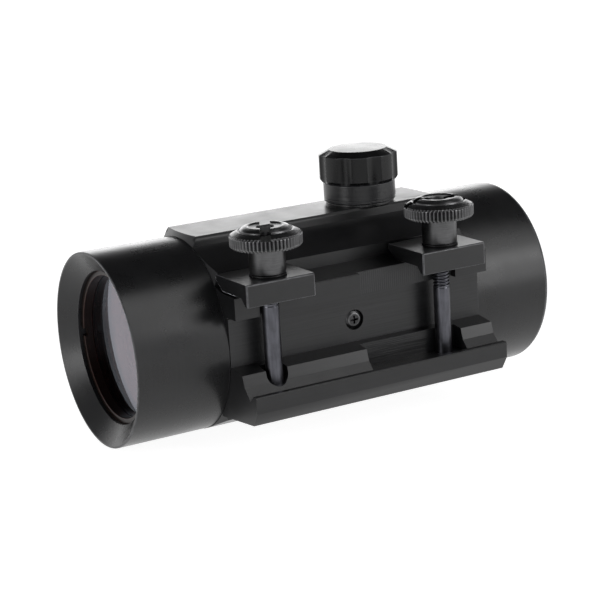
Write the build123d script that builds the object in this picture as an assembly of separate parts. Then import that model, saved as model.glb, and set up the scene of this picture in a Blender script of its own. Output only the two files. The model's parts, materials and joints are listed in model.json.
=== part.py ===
from build123d import *
import math
import os

# Tube-type red dot sight with a side-clamping rail mount.
# Frame: +X runs along the optical axis from the front mouth to the eyepiece,
# +Z points to the brightness turret, and the rail seat faces -Y.
# All sizes are in millimetres.

# --- tube ---
TUBE_R = 20.35
LENGTH = 99.6
MOUTH_LIP_R = 19.9          # where the bevel inside the front mouth starts
MOUTH_BORE_R = 16.0
MOUTH_BEVEL = 3.0           # depth of that bevel along X
CLEAR_R = 14.9              # free radius in front of and behind the glass
INNER_BORE_R = 16.6
SPIGOT_R = 18.75
SPIGOT_LENGTH = 5.0
REAR_EDGE_ROUND = 1.0

# --- mount body ---
BODY_X0 = 20.2
BODY_X1 = 80.4
BODY_BORE_R = 17.6
SKIN_R = 20.45              # distance of the slanted flats from the optical axis
SKIN_ANGLE = math.radians(23.8)
FLAT_HALF = 6.4             # half width of the turret flat and of its copy on +Y
FLAT_Z = 21.4
EDGE = 0.4                  # small chamfer at long edges
WALL_Y = 15.7               # corner where a slanted flat ends
LEDGE_Z = 12.0
SHOULDER_Y = -23.85
SHOULDER_Z = 7.3
FLOOR_Y = -20.5
CORNER_RELIEF = 0.35         # groove where the channel floor meets the shoulder
RIDGE_TOP_Z = -3.0
RIDGE_Y = -25.1
V_BOTTOM = (-27.85, -8.2)   # y and z of the bottom of the fixed V jaw
LIP_Y = -30.45
LIP_TOP_Z = -6.95
LIP_LOW_Z = -10.3
BASE_Y = -28.7
BASE_Z = -13.1

# --- clamps, studs and thumb nuts ---
STUD_Y = -24.16
STUD_X = {"left": 27.9, "right": 68.7}
STUD_R = 1.75
STUD_BOTTOM_Z = -12.4
STUD_TOP_Z = 22.0
THREAD_START_Z = {"left": 9.6, "right": 6.2}
THREAD_PITCH = 0.7
THREAD_DEPTH = 0.3
CLAMP_LENGTH = 15.4
CLAMP_TOP_Z = {"left": 15.55, "right": 15.15}
CLAMP_HEIGHT = 4.6
CLAMP_WEB = 3.1             # height behind the hook
CLAMP_FRONT_Y = -29.35
CLAMP_BACK_Y = -16.1
WASHER_R = 3.75
WASHER_THICKNESS = 0.45
NUT_HUB_R = 3.65
NUT_HUB_HEIGHT = 5.4
NUT_DISC_R = 7.25
NUT_BAND = 2.65
NUT_DOME = 1.5
NUT_TEETH = 56
NUT_SLOT_WIDTH = 2.1
NUT_SLOT_DEPTH = 1.5
NUT_SLOT_ANGLE = {"left": 62, "right": -20}     # where each nut came to rest, from +X
RUNNING_GAP = 0.05

# --- relief pocket and stud notches ---
POCKET_X0 = 49.1
POCKET_X1 = 72.5
POCKET_WALL_Y = -22.3
NOTCH_HALF = 2.45
NOTCH_BOTTOM_Z = -6.9

# --- turret ---
TURRET_X = 64.5
TURRET_HOLE_R = 6.2
DIAL_R = 7.8
DIAL_BOTTOM_Z = 22.0
DIAL_TOP_Z = 26.2
CAP_R = 8.5
CAP_TOP_R = 6.28
CAP_TOP_Z = 33.2
CAP_SHOULDER_Z = 32.15
CAP_FLUTES = 8
FLUTE_R = 3.2               # radius of the round scallops in the cap
FLUTE_CENTRE_R = 11.1
NECK_R = 6.9
NECK_TOP_Z = 29.2
WELL_R = 6.4
WEB_Z0 = 24.1
WEB_Z1 = 24.9
SPINDLE_R = 4.8
DETENT_R = 5.5              # distance of the detent ball from the turret axis
COIN_R = 6.25
COIN_THICKNESS = 2.0

# --- optics carried inside ---
WINDOW_R = 15.9
WINDOW_THICKNESS = 2.0
FRONT_WINDOW_X = 5.8
REAR_WINDOW_X = 90.2
INNER_TUBE_R = 15.4
INNER_TUBE_WALL = 1.0
INNER_TUBE_X0 = 14.0
INNER_TUBE_X1 = 78.0
GIMBAL_X = 73.0
GIMBAL_R_IN = 16.0
GIMBAL_R_OUT = 17.3
GIMBAL_WIDTH = 3.0
GIMBAL_PIN_R = 0.75

# --- windage and elevation adjusters ---
ADJUSTER_X = 38.0
ADJUSTER_HEAD_R = 3.6
ADJUSTER_RECESS_R = 3.9
ADJUSTER_FACE = {"elevation": FLAT_Z, "windage": 20.1}
ADJUSTER_FLOOR = {"elevation": 19.4, "windage": 18.8}
ADJUSTER_SLOT = {"elevation": 0.8, "windage": 0.45}
ADJUSTER_SHANK_R = 1.9
ADJUSTER_TURN = {"elevation": Rot(-90, 0, 0), "windage": Rot(180, 0, 0)}
PLUNGER_R = 1.2

# --- screw in the channel floor and the spring it holds ---
FLOOR_SCREW_X = 49.3
FLOOR_SCREW_Z = 1.6
FLOOR_SCREW_HEAD_R = 1.95


def turned_x(points):
    """Solid of revolution about the optical axis from (x, radius) points."""
    return revolve(make_face(Polyline(*points, close=True)), Axis.X)


def turned_z(points, x=0.0, y=0.0):
    """Solid of revolution about a vertical axis from (radius, z) points."""
    face = Plane.XZ * make_face(Polyline(*points, close=True))
    return Pos(x, y, 0) * revolve(face, Axis.Z)


def ring_x(x0, x1, r_out, r_in):
    """Plain ring about the optical axis."""
    return turned_x([(x0, r_in), (x1, r_in), (x1, r_out), (x0, r_out)])


def ring_z(z0, z1, r_out, r_in, x=0.0, y=0.0):
    """Plain ring about a vertical axis."""
    return turned_z([(r_in, z0), (r_out, z0), (r_out, z1), (r_in, z1)], x, y)


def rod_z(z0, z1, r, x=0.0, y=0.0):
    return Pos(x, y, z0) * Cylinder(r, z1 - z0, align=(Align.CENTER, Align.CENTER, Align.MIN))


def rod_y(y0, y1, r, x=0.0, z=0.0):
    shaft = Cylinder(r, y1 - y0, align=(Align.CENTER, Align.CENTER, Align.MIN))
    return Pos(x, y0, z) * Rot(-90, 0, 0) * shaft


def block(x0, x1, y0, y1, z0, z1):
    return Pos(x0, y0, z0) * Box(x1 - x0, y1 - y0, z1 - z0, align=(Align.MIN,) * 3)


def extruded(points, x0, x1):
    """Extrude a (y, z) outline along X."""
    face = Plane.YZ * make_face(Polyline(*points, close=True))
    return Pos(x0, 0, 0) * extrude(face, amount=x1 - x0)


def export(name, shape):
    """Write one named node; a node may hold several separate solids."""
    solids = shape.solids()
    part = solids[0] if len(solids) == 1 else Compound(children=list(solids))
    part.label = name
    export_step(part, f"parts/{name}.step")


# --- tube sections and glass -------------------------------------------------

def front_tube():
    seat_x = FRONT_WINDOW_X + WINDOW_THICKNESS + 0.4
    shell = turned_x([
        (0.0, TUBE_R), (0.0, MOUTH_LIP_R), (MOUTH_BEVEL, MOUTH_BORE_R), (seat_x, MOUTH_BORE_R),
        (seat_x, CLEAR_R), (seat_x + 1.2, CLEAR_R), (seat_x + 1.8, INNER_BORE_R),
        (BODY_X0 + SPIGOT_LENGTH, INNER_BORE_R), (BODY_X0 + SPIGOT_LENGTH, SPIGOT_R),
        (BODY_X0, SPIGOT_R), (BODY_X0, TUBE_R)])
    return shell


def rear_tube():
    seat_x = REAR_WINDOW_X - 0.4
    shell = turned_x([
        (BODY_X1 - SPIGOT_LENGTH, INNER_BORE_R), (seat_x - 1.8, INNER_BORE_R), (seat_x - 1.2, CLEAR_R),
        (seat_x, CLEAR_R), (seat_x, MOUTH_BORE_R), (LENGTH - 2.0, MOUTH_BORE_R),
        (LENGTH, 17.8), (LENGTH, TUBE_R), (BODY_X1, TUBE_R), (BODY_X1, SPIGOT_R),
        (BODY_X1 - SPIGOT_LENGTH, SPIGOT_R)])
    outer_edge = shell.edges().filter_by(GeomType.CIRCLE).filter_by(
        lambda e: abs(e.radius - TUBE_R) < 0.01 and e.center().X > LENGTH - 0.1)
    return fillet(outer_edge, REAR_EDGE_ROUND)


def window(x):
    """Flat glass disc with ground edges."""
    bevel = 0.25
    return turned_x([
        (x, 0), (x, WINDOW_R - bevel), (x + bevel, WINDOW_R),
        (x + WINDOW_THICKNESS - bevel, WINDOW_R), (x + WINDOW_THICKNESS, WINDOW_R - bevel),
        (x + WINDOW_THICKNESS, 0)])


def retaining_ring(x0, x1, notch_x0, notch_x1):
    """Threaded ring that holds a window, with two notches for a pin spanner."""
    ring = ring_x(x0, x1, MOUTH_BORE_R - RUNNING_GAP, CLEAR_R)
    notch = block(notch_x0, notch_x1, -17, 17, -0.8, 0.8)
    return ring - notch


def seal(x):
    """O-ring squeezed behind a window."""
    return Pos(x, 0, 0) * Rot(0, 90, 0) * Torus(15.45, 0.19)


# --- mount body --------------------------------------------------------------

def body_outline_points():
    """Outline of the tube part of the body: two flats, slanted skins and a round belly."""
    half = FLAT_HALF + EDGE
    wall_z = (SKIN_R - WALL_Y * math.sin(SKIN_ANGLE)) / math.cos(SKIN_ANGLE)
    edge_z = (SKIN_R - half * math.sin(SKIN_ANGLE)) / math.cos(SKIN_ANGLE)
    quarter = [(FLAT_HALF, FLAT_Z), (half, FLAT_Z - EDGE), (half, edge_z)]
    top = [(-y, z) for y, z in reversed(quarter)] + quarter
    right = [(z, y) for y, z in reversed(quarter)] + [(z, -y) for y, z in quarter]
    belly = [SKIN_ANGLE * i / 4 for i in range(4, -5, -1)]
    bottom = [(SKIN_R * math.sin(a), -SKIN_R * math.cos(a)) for a in belly]
    near = [(-WALL_Y, -wall_z), (-WALL_Y, wall_z)]
    return top + [(WALL_Y, wall_z)] + right + [(WALL_Y, -wall_z)] + bottom + near


def rail_outline_points():
    """Outline of the rail side: shoulder, channel, ridge, V jaw and lip."""
    v_y, v_z = V_BOTTOM
    flank = LIP_TOP_Z - v_z
    return [
        (-WALL_Y + 0.6, LEDGE_Z + 0.8), (-WALL_Y, LEDGE_Z + 0.8), (-WALL_Y - 3.3, LEDGE_Z),
        (SHOULDER_Y + 0.2, LEDGE_Z), (SHOULDER_Y, LEDGE_Z - 0.2),
        (SHOULDER_Y, SHOULDER_Z), (FLOOR_Y, SHOULDER_Z),
        (FLOOR_Y, RIDGE_TOP_Z), (RIDGE_Y, RIDGE_TOP_Z - 0.65),
        (RIDGE_Y - 0.7, RIDGE_TOP_Z - 3.0), (v_y, v_z),
        (v_y - flank, LIP_TOP_Z), (LIP_Y + 0.2, LIP_TOP_Z), (LIP_Y, LIP_TOP_Z - 0.2),
        (LIP_Y, LIP_LOW_Z), (BASE_Y, BASE_Z), (-WALL_Y, BASE_Z - 1.3), (-WALL_Y + 0.6, BASE_Z - 1.3)]


def mount_body():
    core = extruded(body_outline_points(), BODY_X0, BODY_X1)
    big_r = 24.0
    slope = 0.57                # run of the end bevels for each unit of radius
    run = slope * (big_r - SKIN_R)
    core &= turned_x([
        (BODY_X0, 0), (BODY_X0, SKIN_R), (BODY_X0 + run, big_r),
        (BODY_X1 - run, big_r), (BODY_X1, SKIN_R), (BODY_X1, 0)])
    body = core + extruded(rail_outline_points(), BODY_X0, BODY_X1)
    body -= ring_x(BODY_X0 - 1, BODY_X1 + 1, BODY_BORE_R, 0)
    counterbore = SPIGOT_R + 0.02
    body -= ring_x(BODY_X0 - 1, BODY_X0 + SPIGOT_LENGTH + 0.1, counterbore, 0)
    body -= ring_x(BODY_X1 - SPIGOT_LENGTH - 0.1, BODY_X1 + 1, counterbore, 0)
    # turret socket
    body -= rod_z(10, 25, TURRET_HOLE_R, TURRET_X)
    relief_z = SHOULDER_Z - CORNER_RELIEF
    body -= block(BODY_X0 - 1, BODY_X1 + 1, FLOOR_Y - 0.2, FLOOR_Y + CORNER_RELIEF, relief_z, SHOULDER_Z)
    # relief pocket across the shoulder and the ridge
    body -= block(POCKET_X0, POCKET_X1, -27.9, POCKET_WALL_Y, V_BOTTOM[1], LEDGE_Z + 1)
    # U notches for the left stud in the shoulder and in the ridge
    left = STUD_X["left"]
    body -= block(left - 2.2, left + 2.2, -32, -22.0, SHOULDER_Z - 1, LEDGE_Z + 1)
    notch_z = NOTCH_BOTTOM_Z + NOTCH_HALF
    body -= block(left - NOTCH_HALF, left + NOTCH_HALF, -32, -22.0, notch_z, RIDGE_TOP_Z + 1)
    body -= rod_y(-32, -22.0, NOTCH_HALF, left, notch_z)
    # threaded holes for the studs
    for x in STUD_X.values():
        body -= rod_z(STUD_BOTTOM_Z, 0, STUD_R, x, STUD_Y)
    # recessed adjusters: elevation on +Y, windage on -Z
    for name, turn in ADJUSTER_TURN.items():
        recess = rod_z(ADJUSTER_FLOOR[name], FLAT_Z + 1, ADJUSTER_RECESS_R)
        recess += rod_z(BODY_BORE_R - 1, FLAT_Z, ADJUSTER_SHANK_R + RUNNING_GAP)
        body -= Pos(ADJUSTER_X, 0, 0) * turn * recess
    # counterbored hole for the floor screw
    body -= rod_y(FLOOR_Y - 1, FLOOR_Y + 1.2, FLOOR_SCREW_HEAD_R + 0.2, FLOOR_SCREW_X, FLOOR_SCREW_Z)
    body -= rod_y(FLOOR_Y, -BODY_BORE_R + 1, 1.0, FLOOR_SCREW_X, FLOOR_SCREW_Z)
    # blind holes for the vertical gimbal pins
    for side in (-1, 1):
        hole = rod_z(17.0, 19.1, GIMBAL_PIN_R + RUNNING_GAP, GIMBAL_X)
        body -= hole if side > 0 else Rot(180, 0, 0) * hole
    return body


# --- clamps ------------------------------------------------------------------

def clamp_block(side):
    """Moving jaw: a bar with a 45 degree hook in front and a bevelled heel."""
    top = CLAMP_TOP_Z[side]
    x = STUD_X[side]
    web = top - CLAMP_WEB
    tip = top - CLAMP_HEIGHT
    flank = web - tip
    bar = extruded([
        (CLAMP_FRONT_Y, top), (CLAMP_FRONT_Y, tip), (CLAMP_FRONT_Y + 0.9, tip),
        (CLAMP_FRONT_Y + 0.9 + flank, web), (-19.1, web), (CLAMP_BACK_Y, top - 1.0),
        (CLAMP_BACK_Y, top)], x - CLAMP_LENGTH / 2, x + CLAMP_LENGTH / 2)
    ends = bar.edges().filter_by(Axis.Z) + bar.edges().filter_by(Axis.X).sort_by(Axis.Z)[-2:]
    bar = chamfer(ends, 0.2)
    return bar - rod_z(tip - 1, top + 1, STUD_R + 0.1, x, STUD_Y)


def clamp_stud(side):
    """Stud with a plain shank and rolled thread, drawn as separate ridges."""
    start = THREAD_START_Z[side]
    low = STUD_R - THREAD_DEPTH
    points = [(0, STUD_BOTTOM_Z), (STUD_R - 0.3, STUD_BOTTOM_Z), (STUD_R, STUD_BOTTOM_Z + 0.3)]
    turns = int((STUD_TOP_Z - start) / THREAD_PITCH)
    for i in range(turns):
        z = start + i * THREAD_PITCH
        points += [(STUD_R, z), (low, z + 0.28), (low, z + 0.38), (STUD_R, z + 0.66)]
    points += [(STUD_R - 0.3, STUD_TOP_Z), (0, STUD_TOP_Z)]
    return turned_z(points, STUD_X[side], STUD_Y)


def washer(side):
    z = CLAMP_TOP_Z[side]
    return ring_z(z, z + WASHER_THICKNESS, WASHER_R, STUD_R + 0.15, STUD_X[side], STUD_Y)


def toothed_disc(radius, depth, teeth, z0, z1):
    """Disc with straight V knurls around its rim."""
    points = []
    for i in range(teeth):
        a = 2 * math.pi * i / teeth
        for r, da in ((radius, -0.18), (radius, 0.18), (radius - depth, 0.5)):
            t = a + da * 2 * math.pi / teeth
            points.append((r * math.cos(t), r * math.sin(t)))
    face = make_face(Polyline(*points, close=True))
    return Pos(0, 0, z0) * extrude(face, amount=z1 - z0)


def thumb_nut(side):
    """Knurled thumb nut with a hub below and a coin slot across its dome."""
    z0 = CLAMP_TOP_Z[side] + WASHER_THICKNESS
    z1 = z0 + NUT_HUB_HEIGHT
    z2 = z1 + NUT_BAND
    z3 = z2 + NUT_DOME
    knurled = toothed_disc(NUT_DISC_R, 0.35, NUT_TEETH, z1, z2)
    limit = turned_z([
        (0, z1), (NUT_DISC_R - 0.5, z1), (NUT_DISC_R + 0.1, z1 + 0.5),
        (NUT_DISC_R + 0.1, z2 - 0.3), (NUT_DISC_R - 0.4, z2), (0, z2)])
    turned = turned_z([
        (0, z0), (NUT_HUB_R - 0.3, z0), (NUT_HUB_R, z0 + 0.3), (NUT_HUB_R, z1 + 0.2),
        (NUT_DISC_R - 1.0, z1 + 0.2), (NUT_DISC_R - 0.45, z2 - 0.1), (5.55, z2 + 0.75),
        (5.4, z2 + 0.5), (5.2, z2 + 0.5), (5.1, z2 + 0.85), (4.6, z3 - 0.2), (3.9, z3),
        (3.5, z3), (3.2, z3 - 0.25), (0, z3 - 0.3)])
    nut = (knurled & limit) + turned
    floor_z = z3 - 0.35 - NUT_SLOT_DEPTH
    half = NUT_SLOT_WIDTH / 2
    nut -= Rot(0, 0, NUT_SLOT_ANGLE[side]) * block(-9, 9, -half, half, floor_z, z3 + 1)
    nut -= rod_z(z0 - 1, z3 + 1, STUD_R + RUNNING_GAP)
    return Pos(STUD_X[side], STUD_Y, 0) * nut


# --- brightness turret -------------------------------------------------------

def turret_base():
    """Flanged sleeve pressed into the flat; the dial turns on its spigot."""
    base = turned_z([
        (4.0, 17.9), (TURRET_HOLE_R - RUNNING_GAP, 17.9), (TURRET_HOLE_R - RUNNING_GAP, FLAT_Z),
        (7.2, FLAT_Z), (7.2, DIAL_BOTTOM_Z - 0.1), (SPINDLE_R, DIAL_BOTTOM_Z - 0.1),
        (SPINDLE_R, WEB_Z0 - 0.15), (4.0, WEB_Z0 - 0.15)])
    base = Pos(TURRET_X, 0, 0) * base
    return base - rod_z(19.9, 23, 0.5, TURRET_X + DETENT_R)


def brightness_dial():
    """Drum with the battery well and the threaded neck for the cap."""
    dial = turned_z([
        (SPINDLE_R + RUNNING_GAP, DIAL_BOTTOM_Z), (DIAL_R - 0.3, DIAL_BOTTOM_Z),
        (DIAL_R, DIAL_BOTTOM_Z + 0.3), (DIAL_R, DIAL_TOP_Z - 0.15), (DIAL_R - 0.15, DIAL_TOP_Z),
        (NECK_R, DIAL_TOP_Z), (NECK_R, NECK_TOP_Z), (WELL_R, NECK_TOP_Z), (WELL_R, WEB_Z1),
        (1.2, WEB_Z1), (1.2, WEB_Z0), (SPINDLE_R + RUNNING_GAP, WEB_Z0)])
    track = Pos(0, 0, DIAL_BOTTOM_Z - 0.15) * Torus(DETENT_R, 0.5)
    return Pos(TURRET_X, 0, 0) * (dial - track)


def detent_ball():
    return Pos(TURRET_X + DETENT_R, 0, DIAL_BOTTOM_Z - 0.2) * Sphere(0.44)


def detent_spring():
    """Small compression spring under the detent ball."""
    path = Helix(pitch=0.35, height=1.2, radius=0.34)
    wire = sweep(Plane(origin=path @ 0, z_dir=path % 0) * Circle(0.08), path=path)
    return Pos(TURRET_X + DETENT_R, 0, 20.0) * wire


def switch_board():
    """Round printed board with a ring of contact pads."""
    board = rod_z(20.5, 21.3, 3.95)
    for i in range(11):
        a = math.radians(30 * i)
        board += rod_z(21.3, 21.4, 0.35, 2.9 * math.cos(a), 2.9 * math.sin(a))
    return Pos(TURRET_X, 0, 0) * board


def wiper_contact():
    """Spring brush fixed under the dial, with its insulating hub."""
    hub = turned_z([(0, 22.6), (1.6, 22.6), (1.6, WEB_Z0), (1.15, WEB_Z0), (1.15, WEB_Z1), (0, WEB_Z1)])
    arm = block(0, 3.3, -0.4, 0.4, 22.6, 22.8) + block(2.6, 3.3, -0.4, 0.4, 21.5, 22.8)
    return Pos(TURRET_X, 0, 0) * (hub + arm)


def battery_spring():
    """Conical contact spring between the well floor and the coin cell."""
    path = Helix(pitch=0.55, height=1.3, radius=3.4, cone_angle=-30)
    wire = sweep(Plane(origin=path @ 0, z_dir=path % 0) * Circle(0.17), path=path)
    return Pos(TURRET_X, 0, WEB_Z1 + 0.18) * wire


def coin_cell():
    z = 26.6
    return turned_z([
        (0, z), (COIN_R - 0.9, z), (COIN_R - 0.9, z + 0.35), (COIN_R - 0.3, z + 0.35),
        (COIN_R, z + 0.7), (COIN_R, z + COIN_THICKNESS - 0.2), (COIN_R - 0.2, z + COIN_THICKNESS),
        (0, z + COIN_THICKNESS)], TURRET_X)


def cap_seal():
    return Pos(TURRET_X, 0, DIAL_TOP_Z + 0.45) * Torus(7.35, 0.36)


def battery_cap():
    """Screw cap with wide scallops around its side."""
    bottom = DIAL_TOP_Z + 0.1
    inside = NECK_R + RUNNING_GAP
    cap = turned_z([
        (7.8, bottom), (8.1, bottom), (CAP_R, bottom + 0.6), (CAP_R, CAP_SHOULDER_Z),
        (CAP_TOP_R, CAP_TOP_Z), (0, CAP_TOP_Z), (0, 30.0), (5.6, 30.0), (5.6, NECK_TOP_Z + 0.3),
        (inside, NECK_TOP_Z + 0.3), (inside, bottom + 0.8), (7.8, bottom + 0.8)])
    for i in range(CAP_FLUTES):
        a = 2 * math.pi * (i + 5 / 6) / CAP_FLUTES
        x, y = FLUTE_CENTRE_R * math.cos(a), FLUTE_CENTRE_R * math.sin(a)
        cap -= rod_z(bottom - 1, CAP_TOP_Z + 1, FLUTE_R, x, y)
    return Pos(TURRET_X, 0, 0) * cap


def cap_contact():
    """Contact disc with three spring dimples inside the cap."""
    disc = rod_z(29.6, 29.9, 5.4)
    for i in range(3):
        a = math.radians(120 * i)
        disc += rod_z(28.7, 29.6, 0.5, 3 * math.cos(a), 3 * math.sin(a))
    return Pos(TURRET_X, 0, 0) * disc


# --- inner optical tube ------------------------------------------------------

def inner_tube():
    r_in = INNER_TUBE_R - INNER_TUBE_WALL
    tube = turned_x([
        (INNER_TUBE_X0, INNER_TUBE_R), (INNER_TUBE_X1, INNER_TUBE_R), (INNER_TUBE_X1, r_in),
        (18.4, r_in), (18.0, r_in - 0.8), (17.2, r_in - 0.8), (17.2, r_in), (INNER_TUBE_X0, r_in)])
    tube -= rod_z(10, 18, 1.6, TURRET_X)
    tube -= rod_y(-18, 18, GIMBAL_PIN_R + RUNNING_GAP, GIMBAL_X)
    return tube


def reflector_lens():
    """Curved lens with the red-reflecting layer, concave towards the eye."""
    r = 14.35
    outline = Polyline((17.1, r), (15.6, r), (15.6, 0))
    front = Line((15.6, 0), (16.1, 0))
    back = ThreePointArc((16.1, 0), (16.36, r / 2), (17.1, r))
    return revolve(make_face(outline + front + back), Axis.X)


def reflector_ring():
    return ring_x(INNER_TUBE_X0 + 0.2, 15.5, 14.35, 13.5) - block(14, 15, -17, 17, -0.6, 0.6)


def gimbal_ring():
    half = GIMBAL_WIDTH / 2
    ring = ring_x(GIMBAL_X - half, GIMBAL_X + half, GIMBAL_R_OUT, GIMBAL_R_IN)
    ring -= rod_z(-18, 18, GIMBAL_PIN_R, GIMBAL_X)
    return ring - rod_y(-18, 18, GIMBAL_PIN_R, GIMBAL_X)


def gimbal_pins():
    """Two vertical pins into the body and two level pins into the inner tube."""
    upper = rod_z(GIMBAL_R_IN, 18.9, GIMBAL_PIN_R, GIMBAL_X)
    near = rod_y(-17.1, -14.9, GIMBAL_PIN_R, GIMBAL_X)
    return Compound(children=[upper, Rot(180, 0, 0) * upper, near, Rot(180, 0, 0) * near])


def emitter_holder():
    """Bracket on the inner wall that carries the light source."""
    holder = block(62.5, 66.0, -2.2, 2.2, 11.6, 15.0)
    holder &= ring_x(62.0, 67.0, INNER_TUBE_R - INNER_TUBE_WALL - 0.01, 0)
    holder -= rod_z(13.2, 16, 1.0, TURRET_X)
    hole = Pos(62.0, 0, 12.9) * Rot(0, 90, 0) * Cylinder(0.8, 3.0)
    return holder - hole


def led_emitter():
    """Small domed light source that faces the reflector lens."""
    body = Pos(61.6, 0, 12.9) * Rot(0, 90, 0) * Cylinder(0.75, 3.6)
    return body + Pos(59.8, 0, 12.9) * Sphere(0.75)


def emitter_leads():
    """Two fine wires from the switch board down to the emitter bracket."""
    wires = [rod_z(13.6, 20.5, 0.22, TURRET_X, y) for y in (-0.5, 0.5)]
    return Compound(children=wires)


# --- adjusters and fasteners -------------------------------------------------

def adjuster_dial(name):
    """Slotted adjuster in its recess, drawn pointing up."""
    top = ADJUSTER_FACE[name] - 0.2
    seat = ADJUSTER_FLOOR[name] + 0.35
    dial = turned_z([
        (PLUNGER_R + RUNNING_GAP, BODY_BORE_R - 0.4), (ADJUSTER_SHANK_R, BODY_BORE_R - 0.4),
        (ADJUSTER_SHANK_R, seat), (ADJUSTER_HEAD_R, seat), (ADJUSTER_HEAD_R, top - 0.2),
        (ADJUSTER_HEAD_R - 0.2, top), (0, top), (0, seat), (PLUNGER_R + RUNNING_GAP, seat)])
    return dial - block(-4, 4, -0.4, 0.4, top - ADJUSTER_SLOT[name], top + 1)


def adjuster_seal(name):
    return Pos(0, 0, ADJUSTER_FLOOR[name] + 0.17) * Torus(2.9, 0.16)


def adjuster_plunger(name):
    """Round-nosed pin between the adjuster and the inner tube."""
    tip = INNER_TUBE_R + RUNNING_GAP
    top = ADJUSTER_FLOOR[name] - 0.2
    return turned_z([
        (0, tip), (0.7, tip), (PLUNGER_R, tip + 0.4), (PLUNGER_R, top), (0, top)])


def floor_screw():
    """Pan-head screw with a cross recess, sunk in the channel floor."""
    head_y = FLOOR_Y + 0.1
    depth = 1.05
    head = rod_y(head_y, head_y + depth, FLOOR_SCREW_HEAD_R)
    front_rim = head.edges().filter_by(GeomType.CIRCLE).sort_by(Axis.Y)[0]
    head = fillet(front_rim, 0.5)
    screw = head + rod_y(head_y + depth, -16.95, 0.95)
    for w, h in ((2.3, 0.5), (0.5, 2.3)):
        screw -= block(-w / 2, w / 2, head_y - 1, head_y + 0.75, -h / 2, h / 2)
    return Pos(FLOOR_SCREW_X, 0, FLOOR_SCREW_Z) * screw


def bias_spring():
    """C-shaped leaf that presses the inner tube against both adjusters."""
    leaf_r = 16.35
    band = ring_x(FLOOR_SCREW_X - 3, FLOOR_SCREW_X + 3, leaf_r, leaf_r - 0.35)
    sector = Polyline((0, 0), (-30, -3), (-30, 30), (6, 30), (0, 0))
    wedge = Pos(40, 0, 0) * extrude(Plane.YZ * make_face(sector), amount=20)
    leaf = Pos(0, -1.0, 0) * (band & wedge)
    return leaf - rod_y(-20, -10, 0.95, FLOOR_SCREW_X, FLOOR_SCREW_Z)


def build():
    parts = {
        "front_tube": front_tube(),
        "rear_tube": rear_tube(),
        "mount_body": mount_body(),
        "front_window": window(FRONT_WINDOW_X),
        "front_window_ring": retaining_ring(3.8, FRONT_WINDOW_X, 3.6, 4.6),
        "front_window_seal": seal(FRONT_WINDOW_X + WINDOW_THICKNESS + 0.2),
        "rear_window": window(REAR_WINDOW_X),
        "rear_window_ring": retaining_ring(92.2, 94.4, 93.4, 95.0),
        "rear_window_seal": seal(REAR_WINDOW_X - 0.2),
        "clamp_studs": Compound(children=[clamp_stud("left"), clamp_stud("right")]),
        "floor_screw": floor_screw(),
        "bias_spring": bias_spring(),
        "turret_base": turret_base(),
        "switch_board": switch_board(),
        "detent_ball": detent_ball(),
        "detent_spring": detent_spring(),
        "emitter_leads": emitter_leads(),
        "brightness_dial": brightness_dial(),
        "wiper_contact": wiper_contact(),
        "battery_spring": battery_spring(),
        "coin_cell": coin_cell(),
        "cap_seal": cap_seal(),
        "battery_cap": battery_cap(),
        "cap_contact": cap_contact(),
        "inner_tube": inner_tube(),
        "reflector_lens": reflector_lens(),
        "reflector_ring": reflector_ring(),
        "gimbal_ring": gimbal_ring(),
        "gimbal_pins": gimbal_pins(),
        "emitter_holder": emitter_holder(),
        "led_emitter": led_emitter(),
    }
    for side in ("left", "right"):
        parts[f"{side}_clamp_block"] = clamp_block(side)
        parts[f"{side}_clamp_washer"] = washer(side)
        parts[f"{side}_thumb_nut"] = thumb_nut(side)
    for name, turn in ADJUSTER_TURN.items():
        place = Pos(ADJUSTER_X, 0, 0) * turn
        parts[f"{name}_dial"] = place * adjuster_dial(name)
        parts[f"{name}_seal"] = place * adjuster_seal(name)
        parts[f"{name}_plunger"] = place * adjuster_plunger(name)
    return parts


os.makedirs("parts", exist_ok=True)
for node, shape in build().items():
    export(node, shape)
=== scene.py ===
import json
import math

import bmesh
import bpy
from mathutils import Matrix, Vector

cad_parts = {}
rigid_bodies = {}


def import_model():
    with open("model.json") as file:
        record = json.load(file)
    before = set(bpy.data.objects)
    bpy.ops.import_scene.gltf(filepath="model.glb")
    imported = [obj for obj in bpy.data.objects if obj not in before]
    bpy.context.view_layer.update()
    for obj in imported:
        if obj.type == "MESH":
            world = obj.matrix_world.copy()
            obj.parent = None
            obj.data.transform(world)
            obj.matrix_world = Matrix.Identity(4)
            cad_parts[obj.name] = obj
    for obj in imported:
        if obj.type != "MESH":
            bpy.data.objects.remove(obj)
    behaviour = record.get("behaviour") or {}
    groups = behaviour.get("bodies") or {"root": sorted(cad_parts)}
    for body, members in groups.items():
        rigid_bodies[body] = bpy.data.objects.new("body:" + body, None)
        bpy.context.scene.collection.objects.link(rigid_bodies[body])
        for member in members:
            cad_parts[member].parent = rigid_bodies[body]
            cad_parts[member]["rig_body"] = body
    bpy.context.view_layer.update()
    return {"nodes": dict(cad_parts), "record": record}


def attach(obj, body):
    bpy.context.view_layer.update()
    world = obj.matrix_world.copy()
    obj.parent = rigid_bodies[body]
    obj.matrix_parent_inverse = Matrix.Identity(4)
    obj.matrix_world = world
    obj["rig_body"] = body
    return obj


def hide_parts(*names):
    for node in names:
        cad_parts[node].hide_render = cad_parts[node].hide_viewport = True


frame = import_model()
nodes = frame["nodes"]
SLOTS = {sub["node"]: sub["material_slot"] for sub in frame["record"]["subparts"]}
MM = 0.001

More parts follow.
